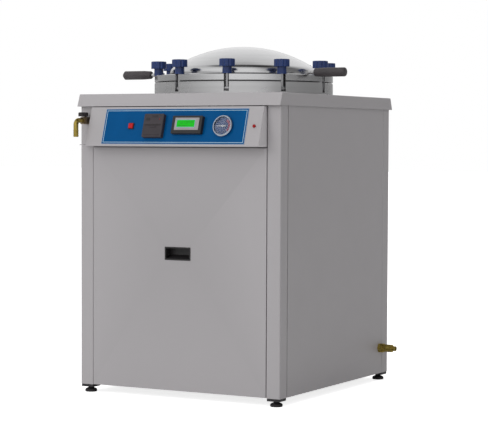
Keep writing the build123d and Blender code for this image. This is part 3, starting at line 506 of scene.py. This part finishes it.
def rect(cu, cv, w, h, r=0.0):
    """Rectangle outline, its corners rounded by r."""
    if not r:
        return [(cu + su * w / 2, cv + sv * h / 2) for su, sv in ((-1, -1), (1, -1), (1, 1), (-1, 1))]
    steps = 5
    out = []
    for sx, sy, start in ((1, -1, -90), (1, 1, 0), (-1, 1, 90), (-1, -1, 180)):
        for k in range(steps + 1):
            a = math.radians(start + 90 * k / steps)
            out.append((cu + sx * (w / 2 - r) + r * math.cos(a), cv + sy * (h / 2 - r) + r * math.sin(a)))
    return out


def arc_points(r, start, end, steps):
    """Points on an arc round the origin, angles in degrees."""
    angles = [math.radians(start + (end - start) * k / steps) for k in range(steps + 1)]
    return [(r * math.cos(a), r * math.sin(a)) for a in angles]


# ------------------------------------------------------------------ console face
# In millimetres: u runs along the face and v up its slope, from the middle of the node named.
# h runs out of the face, from the plane of the fascia's back.
TILT = math.radians(17)
ACROSS = Vector((1, 0, 0))
UP = Vector((0, math.sin(TILT), math.cos(TILT)))
OUT = Vector((0, -math.cos(TILT), math.sin(TILT)))


def on_face(node, middle):
    """Placing function on the console face, centred on a node whose mid-thickness is at height middle."""
    low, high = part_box(node)
    centre = (low + high) / 2 - OUT * middle * MM

    def place(u, v, h):
        return centre + (ACROSS * u + UP * v + OUT * h) * MM

    return place


FILM_TOP = 0.8
FASCIA_W, FASCIA_H = 497.0, 111.0
face = on_face("fascia", FILM_TOP / 2)


def border(name, look, inset, width, low, high):
    """Printed line of one width that runs round the fascia at an inset from its edge."""
    outer = rect(0, 0, FASCIA_W - 2 * inset, FASCIA_H - 2 * inset)
    inner = rect(0, 0, FASCIA_W - 2 * (inset + width), FASCIA_H - 2 * (inset + width))
    line = Build()
    line.frame(face, outer, inner, low, high)
    line.make(name, look)


border("fascia_pinstripe", "line", 5.0, 1.4, 0.5, FILM_TOP + 0.08)
border("fascia_rim", "rim", 0.0, 1.0, 0.3, FILM_TOP + 0.06)

# End plates on the console's cheeks in a lighter paint, as painted light: it lifts the cheek that faces away
# from the lights to the brightness of the lit front.
shell_low, shell_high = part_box("console_shell")
post_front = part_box("cabinet_frame")[0].y
lean = math.tan(TILT) * (shell_high.z - shell_low.z)
PLATE_SETBACK = 0.8 * MM
PLATE_MARGIN = 0.6 * MM
PLATE_SUNK, PLATE_PROUD = -0.3 * MM, 0.6 * MM
cheek_front = shell_low.y + PLATE_SETBACK
cheek_low, cheek_high = shell_low.z + PLATE_MARGIN, shell_high.z - PLATE_MARGIN
cheek = [
    (cheek_front, cheek_low), (post_front, cheek_low),
    (post_front, cheek_high), (cheek_front + lean, cheek_high),
]
caps = Build()
for x, outward in ((shell_low.x, -1), (shell_high.x, 1)):
    caps.loops([[(x + outward * t, y, z) for y, z in cheek] for t in (PLATE_SUNK, PLATE_PROUD)])
caps.make("console_end_plates", "end_plate")

# Gauge: graduated dial, red sector, numerals and a hub cap. Angles are in degrees from the dial's right.
GLASS_MIDDLE = 8.65
dial = on_face("gauge_glass", GLASS_MIDDLE)
DIAL_TOP = 3.0
ZERO, FULL = 225.0, -45.0
DIVISIONS = 40
TICK_OUTER = 24.5
TICK_LONG, TICK_HALF, TICK_SHORT = 19.5, 21.8, 22.8
NUMERAL_RING = 14.2
NUMERAL_SIZE = 5.4
HALF_WIDE, HALF_NARROW = 0.42, 0.22
RING_RADII, RING_POINTS = (26.6, 26.0), 48
SECTOR_RADII, SECTOR_START = (24.6, 17.5), 62
SINK, PRINT = 0.1, 0.06


def printed(build, outline, height):
    """Thin mark on the dial, its underside just inside it."""
    build.prism(dial, outline, DIAL_TOP - SINK, DIAL_TOP + height)


ticks = Build()
for k in range(DIVISIONS + 1):
    angle = ZERO + (FULL - ZERO) * k / DIVISIONS
    long = k % 10 == 0
    inner = TICK_LONG if long else TICK_HALF if k % 5 == 0 else TICK_SHORT
    half = HALF_WIDE if long else HALF_NARROW
    c, s = math.cos(math.radians(angle)), math.sin(math.radians(angle))
    outline = [
        (inner * c + half * s, inner * s - half * c), (TICK_OUTER * c + half * s, TICK_OUTER * s - half * c),
        (TICK_OUTER * c - half * s, TICK_OUTER * s + half * c), (inner * c - half * s, inner * s + half * c),
    ]
    printed(ticks, outline, 2 * PRINT)
ring_outer, ring_inner = (
    arc_points(r, 0, 360 - 360 / RING_POINTS, RING_POINTS - 1) for r in RING_RADII
)
ticks.frame(dial, ring_outer, ring_inner, DIAL_TOP - SINK, DIAL_TOP + 2 * PRINT)
ticks.make("gauge_ticks", "mark")
sector = Build()
outer, inner = (arc_points(r, SECTOR_START, FULL, 24) for r in SECTOR_RADII)
printed(sector, outer + inner[::-1], PRINT)
sector.make("gauge_red_zone", "red_zone")
facing = Matrix((ACROSS, UP, OUT)).transposed().to_4x4()
for k, numeral in enumerate("01234"):
    angle = math.radians(ZERO + (FULL - ZERO) * k / 4)
    curve = bpy.data.curves.new(f"numeral_{k}", "FONT")
    curve.body = numeral
    curve.size = NUMERAL_SIZE * MM
    curve.extrude = 0.05 * MM
    curve.align_x = "CENTER"
    curve.align_y = "CENTER"
    text = bpy.data.objects.new(f"numeral_{k}", curve)
    mesh = bpy.data.meshes.new_from_object(text)
    bpy.data.objects.remove(text)
    at = dial(NUMERAL_RING * math.cos(angle), NUMERAL_RING * math.sin(angle), DIAL_TOP + PRINT)
    mesh.transform(Matrix.Translation(at) @ facing)
    mesh.materials.clear()
    mesh.materials.append(M["mark"])
    obj = bpy.data.objects.new(f"gauge_numeral_{k}", mesh)
    bpy.context.scene.collection.objects.link(obj)
    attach(obj, "root")
HUB_BASE = 5.65
hub = Build()
hub.turned(
    dial(0, 0, HUB_BASE), OUT,
    [(3.3 * MM, 0), (3.3 * MM, 0.5 * MM), (2.4 * MM, 1.2 * MM), (1.3 * MM, 1.32 * MM)],
    24,
)
# The cap is white, like the needle.
hub.make("gauge_hub", "needle", body="gauge_needle", smooth=True)

# Display: a backlit panel with figures, and a row of membrane keys under it.
PLATE_MIDDLE, SCREEN_MIDDLE = 13.15, 12.75
BEZEL_LOW, KEY_LOW, RAISED_TOP = 14.0, 14.2, 14.75
panel = on_face("display_plate", PLATE_MIDDLE)
screen = on_face("display_screen", SCREEN_MIDDLE)
SCREEN_TOP = 13.5
INK = 0.04
SEGMENTS = {
    "0": "abcdef", "1": "bc", "2": "abged", "3": "abgcd", "4": "fgbc", "5": "afgcd",
    "6": "afgedc", "7": "abc", "8": "abcdefg", "9": "abcdfg",
}
figures = Build()


def figure(digit, u, v, w, h, t):
    """One seven-segment figure on the screen, w by h, its segments t wide."""
    boxes = {
        "a": (u, v + h / 2, w, t), "g": (u, v, w, t), "d": (u, v - h / 2, w, t),
        "b": (u + w / 2, v + h / 4, t, h / 2), "c": (u + w / 2, v - h / 4, t, h / 2),
        "f": (u - w / 2, v + h / 4, t, h / 2), "e": (u - w / 2, v - h / 4, t, h / 2),
    }
    for segment in SEGMENTS[digit]:
        cu, cv, bw, bh = boxes[segment]
        gap = t * 0.3
        shape = rect(cu, cv, bw - gap if bw > bh else bw, bh - gap if bh > bw else bh)
        figures.prism(screen, shape, SCREEN_TOP - SINK, SCREEN_TOP + INK)


for k, digit in enumerate("1210"):
    figure(digit, u=-20 + 7 * k + (2 if k == 3 else 0), v=3.6, w=3.6, h=6.8, t=0.8)
decimal_point = rect(-2.2, 0.2, 0.9, 0.9)
figures.prism(screen, decimal_point, SCREEN_TOP - SINK, SCREEN_TOP + INK)
for k, digit in enumerate("2000"):
    figure(digit, u=8 + 4.6 * k + (1.6 if k > 1 else 0), v=4.4, w=2.4, h=4.6, t=0.6)
for k in range(22):
    bar_h = 2.2 if k < 13 else 0.7
    figures.prism(screen, rect(-24.5 + 2.3 * k, -6.2, 1.5, bar_h), SCREEN_TOP - SINK, SCREEN_TOP + INK)
figures.make("screen_figures", "ink")

window = Build()
window.frame(screen, rect(0, 0, 64.4, 24.4, 1.2), rect(0, 0, 61.6, 21.6, 0.6), BEZEL_LOW, RAISED_TOP)
window.make("screen_bezel", "rim")
keys = Build()
for k in range(4):
    keys.prism(panel, rect(-28.5 + 16.5 * k, -14.2, 13.5, 5.4, 1.4), KEY_LOW, RAISED_TOP, 0.25)
keys.make("membrane_keys", "plate")

# Printer: tear bar, feed key, lamp and moulded ribs.
PRINTER_U, PRINTER_OUT = -66.0, 14.0
bar = Build()
bar.prism(face, rect(PRINTER_U, 1.6, 54, 1.6, 0.4), PRINTER_OUT - 0.6, PRINTER_OUT + 0.9, 0.3)
bar.make("tear_bar", "lever")
feed = Build()
feed.prism(face, rect(PRINTER_U - 20, 19, 13, 8, 1.5), PRINTER_OUT - 0.4, PRINTER_OUT + 1.2, 0.4)
feed.make("feed_key", "black")
lamp = Build()
lamp.turned(
    face(PRINTER_U + 21, 19, PRINTER_OUT - 0.5), OUT,
    [(1.6 * MM, 0), (1.6 * MM, 1.1 * MM), (0.9 * MM, 1.6 * MM)],
    20,
)
lamp.make("printer_lamp", "led", smooth=True)
ribs = Build()
for k in range(7):
    rib = rect(PRINTER_U - 6 + 3.2 * k, 28, 1.5, 7, 0.5)
    ribs.prism(face, rib, PRINTER_OUT - 0.4, PRINTER_OUT + 0.6, 0.2)
ribs.make("printer_ribs", "printer")


# ------------------------------------------------------------------ vessel jacket and basket
low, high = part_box("vessel_insulation")
axis = Vector(((low.x + high.x) / 2, (low.y + high.y) / 2, 0))
jacket_r = (high.x - low.x) / 2
shell_r = 0.2493  # just outside the vessel's wall


def jacket():
    """Creased cloth jacket seamed up one side, in place of the plain sleeve."""
    sides, rows = 180, 60
    crease, fine_crease = 0.004, 0.0018
    strap_dip, seam_dip = 0.0045, 0.004
    seam_at, seam_width = math.radians(258), 0.012
    slack, hem = 0.006, 0.012
    verts, faces = [], []
    for j in range(rows + 1):
        t = j / rows
        z = low.z + (high.z - low.z) * t
        pinch = min(1.0, 14 * t, 14 * (1 - t))
        for i in range(sides):
            a = TAU * i / sides
            point = Vector((math.cos(a) * 3, math.sin(a) * 3, z * 9))
            bulge = crease * mnoise.noise(point) + fine_crease * mnoise.noise(point * 3.1)
            waist = strap_dip * max(0.0, math.cos(TAU * (t * 3 - 0.5))) ** 8
            seam = seam_dip * math.exp(-((a - seam_at) / seam_width) ** 2)
            r = jacket_r - slack - hem * (1 - pinch) + bulge - waist - seam
            verts.append(axis + Vector((r * math.cos(a), r * math.sin(a), z)))
    for j in range(rows):
        for i in range(sides):
            k = (i + 1) % sides
            faces.append((j * sides + i, j * sides + k, (j + 1) * sides + k, (j + 1) * sides + i))
    inner = len(verts)
    for z in (low.z, high.z):
        for i in range(sides):
            a = TAU * i / sides
            verts.append(axis + Vector((shell_r * math.cos(a), shell_r * math.sin(a), z)))
    top = rows * sides
    for i in range(sides):
        k = (i + 1) % sides
        faces.append((i, inner + i, inner + k, k))
        faces.append((top + i, top + k, inner + sides + k, inner + sides + i))
        faces.append((inner + i, inner + sides + i, inner + sides + k, inner + k))
    return piece("insulation_jacket", verts, faces, "quilt", smooth=True)


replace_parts(jacket(), "vessel_insulation")
straps = Build()
for k in range(3):
    z = low.z + (high.z - low.z) * (k + 0.5) / 3
    r = jacket_r - 0.0062
    ring = [TAU * i / 120 for i in range(120)]
    straps.loops([
        [axis + Vector((rr * math.cos(a), rr * math.sin(a), z + dz)) for a in ring]
        for rr, dz in ((r, -0.009), (r + 0.0012, -0.009), (r + 0.0012, 0.009), (r, 0.009))
    ], closed=True)
    buckle = axis + Vector((0.02, -r - 0.002, z))
    straps.prism(lambda u, v, h, o=buckle: o + Vector((u, -h, v)) * MM, rect(0, 0, 26, 24, 3), 0, 3, 0.8)
straps.make("jacket_straps", "galvanised")

basket_low, basket_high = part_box("basket")
basket = Build()
bx = Vector(((basket_low.x + basket_high.x) / 2, (basket_low.y + basket_high.y) / 2, 0))
WIRE, BAND_WIRE, HANDLE_WIRE, RIM_WIRE = 0.0013, 0.0022, 0.0028, 0.0032
HOOPS, HOOP_PITCH = 18, 0.0225
UPRIGHTS = 84
MESH_PITCH = 0.0172
rim_r = (basket_high.x - basket_low.x) / 2 - RIM_WIRE
wall_r = rim_r - 0.003


def hoop(r, z, wire):
    steps = 96
    ring = [TAU * i / steps for i in range(steps)]
    basket.tube([bx + Vector((r * math.cos(a), r * math.sin(a), z)) for a in ring], wire, 8, True)


hoop(rim_r, basket_high.z - 0.0035, RIM_WIRE)
for k in range(HOOPS):
    hoop(wall_r, basket_low.z + 0.0035 + HOOP_PITCH * k, WIRE if k % 6 else BAND_WIRE)
for k in range(UPRIGHTS):
    a = TAU * k / UPRIGHTS
    d = Vector((math.cos(a), math.sin(a), 0))
    r = wall_r - 2 * WIRE
    ends = (basket_low.z + 0.002, basket_high.z - 0.004)
    basket.tube([bx + d * r + Vector((0, 0, z)) for z in ends], WIRE, 6)
for k in range(-12, 13):
    x = k * MESH_PITCH
    half = math.sqrt(max(0.0, (wall_r - 0.002) ** 2 - x * x))
    if half > 0.01:
        z_under, z_over = basket_low.z + 0.0015, basket_low.z + 0.004
        basket.tube([bx + Vector((x, y, z_under)) for y in (-half, half)], WIRE, 6)
        basket.tube([bx + Vector((y, x, z_over)) for y in (-half, half)], WIRE, 6)
for side in (-1, 1):
    points = []
    for k in range(17):
        a = math.pi * k / 16
        y = side * (rim_r - 0.012 - 0.03 * math.sin(a))
        z = basket_high.z - 0.012 - 0.028 * math.sin(a)
        points.append(bx + Vector((0.055 * math.cos(a), y, z)))
    basket.tube(points, HANDLE_WIRE, 10)
wire_basket = basket.make("wire_basket", "wire", smooth=True)
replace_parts(wire_basket, "basket")


# ------------------------------------------------------------------ fasteners and small fittings
def screw(build, at, axis, radius):
    """Domed screw head with a round recess."""
    r = radius
    build.turned(
        at, axis,
        [
            (r, 0), (r, r * 0.25), (r * 0.86, r * 0.5),
            (r * 0.5, r * 0.66), (r * 0.42, r * 0.66), (r * 0.34, r * 0.2),
        ],
        18,
    )


rear_low, rear_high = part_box("rear_panel")
SCREW_INSET, SCREW_RADIUS = 0.012, 0.0045
screws = Build()
for x in (rear_low.x + SCREW_INSET, 0.0, rear_high.x - SCREW_INSET):
    for k in range(4):
        z = rear_low.z + 0.02 + (rear_high.z - rear_low.z - 0.06) * k / 3
        screw(screws, (x, rear_high.y - 0.0002, z), (0, 1, 0), SCREW_RADIUS)
screws.make("rear_screws", "bolt", smooth=True)

gland_low, gland_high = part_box("mains_gland")
gland = Build()
gx, gz = (gland_low.x + gland_high.x) / 2, (gland_low.z + gland_high.z) / 2
GLAND_RIBS, GLAND_RADIUS = 14, 0.0125
RIB_LENGTH, RIB_RADIUS = 0.009, 0.0011
for k in range(GLAND_RIBS):
    a = TAU * k / GLAND_RIBS
    centre = Vector((gx + GLAND_RADIUS * math.cos(a), gland_high.y - 0.0155, gz + GLAND_RADIUS * math.sin(a)))
    gland.tube([centre, centre + Vector((0, RIB_LENGTH, 0))], RIB_RADIUS, 8)
gland.make("gland_ribs", "black", smooth=True)


# ------------------------------------------------------------------ stage, light and camera
def stage_material(name, color, glow):
    """White floor. Its glow is for camera rays only: it whitens the horizon and lights nothing."""
    m = Mat(name, color, 0.9, Specular_IOR_Level=0.0)
    m.vary_color(m.noise(0.6, 3), 0.99, 1.0)
    m.p.inputs["Emission Color"].default_value = (1, 1, 1, 1)
    seen = m.add("ShaderNodeLightPath").outputs["Is Camera Ray"]
    m.link(m.math("MULTIPLY", seen, glow), m.p.inputs["Emission Strength"])
    return m.m


floor_mesh = bpy.data.meshes.new("floor")
FLOOR_SIDE, FLOOR_GLOW = 80.0, 0.8
floor_mesh.from_pydata([(*corner, 0) for corner in rect(0, 0, FLOOR_SIDE, FLOOR_SIDE)], [], [(0, 1, 2, 3)])
floor_mesh.materials.append(stage_material("floor_white", (0.85, 0.85, 0.85, 1), FLOOR_GLOW))
floor = bpy.data.objects.new("floor", floor_mesh)
bpy.context.scene.collection.objects.link(floor)

world = bpy.data.worlds.new("studio")
world.use_nodes = True
bpy.context.scene.world = world


def greys(stops):
    """Ramp stops of grey from (position, value) pairs."""
    return [(position, (value, value, value, 1)) for position, value in stops]


# Bright walls, dimmer to the right, with a dark opening overhead. Bearing runs once round the room: 0.5 lies
# 28.76 degrees from the object's front towards +X, and 0 and 1 meet opposite it.
FRONT_TURN = math.radians(-28.76)
RISE_START, RISE_RATE = 0.06, 6.0
HEIGHT = [(0.0, 1.0), (0.6, 0.95), (0.84, 0.8), (0.9, 0.3), (0.97, 0.1)]
LOW_WALLS = [
    (0.0, 0.45), (0.22, 0.4), (0.32, 0.5), (0.43, 1.0),
    (0.55, 1.0), (0.65, 0.34), (0.82, 0.2), (1.0, 0.45),
]
HIGH_WALLS = [
    (0.0, 1.0), (0.2, 0.85), (0.42, 1.0), (0.54, 1.0),
    (0.64, 0.25), (0.78, 0.2), (0.9, 0.95), (1.0, 1.0),
]
room = Tree(world.node_tree)
direction = room.add("ShaderNodeTexCoord").outputs["Generated"]
up = room.split(direction)["Z"]
turn = room.add("ShaderNodeVectorRotate", rotation_type="Z_AXIS")
turn.inputs["Angle"].default_value = FRONT_TURN
room.link(direction, turn.inputs["Vector"])
around = room.split(turn.outputs["Vector"])
bearing = room.math("ARCTAN2", around["X"], room.math("MULTIPLY", around["Y"], -1.0))
bearing = room.math("ADD", room.math("DIVIDE", bearing, TAU), 0.5)
rise = room.math("MULTIPLY", room.math("SUBTRACT", up, RISE_START), RISE_RATE)
walls = room.mix(rise, room.ramp(bearing, greys(LOW_WALLS)), room.ramp(bearing, greys(HIGH_WALLS)))
lit = room.mix(1.0, room.ramp(up, greys(HEIGHT)), walls, "MULTIPLY")
# Camera rays see plain white behind the object. Light and reflections come from the room.
seen = room.add("ShaderNodeLightPath").outputs["Is Camera Ray"]
background = room.t.nodes["Background"]
room.link(room.mix(seen, lit, (1, 1, 1, 1)), background.inputs["Color"])
background.inputs["Strength"].default_value = 1.0


def area(name, at, target, width, power):
    """Soft light aimed at a point, left out of reflections."""
    data = bpy.data.lights.new(name, "AREA")
    data.shape = "SQUARE"
    data.size = width
    data.energy = power
    obj = bpy.data.objects.new(name, data)
    obj.location = at
    obj.rotation_euler = (Vector(target) - Vector(at)).to_track_quat("-Z", "Y").to_euler()
    obj.visible_glossy = False
    bpy.context.scene.collection.objects.link(obj)


KEY_WATTS, TOP_WATTS = 60, 90
area("key", (-2.4, -5.2, 2.6), (0, 0, 0.6), 3.0, KEY_WATTS)
area("top", (0, 0, 5.5), (0, 0, 0), 6.0, TOP_WATTS)

# Camera fitted to the cabinet's corners: azimuth, downward pitch and roll in radians, place in metres.
AZ, PITCH, ROLL = math.radians(28.7597), 0.0453126, 0.0041880
CAMERA_AT = (2.7727707, -5.0197585, 0.7774521)
FOCAL_LENGTH, SENSOR_WIDTH = 132.288, 36
forward = Vector((-math.sin(AZ) * math.cos(PITCH), math.cos(AZ) * math.cos(PITCH), -math.sin(PITCH)))
level = Vector((math.cos(AZ), math.sin(AZ), 0))
upward = level.cross(forward)
right = level * math.cos(ROLL) + upward * math.sin(ROLL)
upward = upward * math.cos(ROLL) - level * math.sin(ROLL)
camera_data = bpy.data.cameras.new("camera")
camera_data.sensor_width = SENSOR_WIDTH
camera_data.lens = FOCAL_LENGTH
camera = bpy.data.objects.new("camera", camera_data)
bpy.context.scene.collection.objects.link(camera)
aim = Matrix((right, upward, -forward)).transposed().to_4x4()
camera.matrix_world = Matrix.Translation(CAMERA_AT) @ aim
camera_data.clip_end = 200
bpy.context.scene.camera = camera
bpy.context.scene.view_settings.view_transform = "Standard"
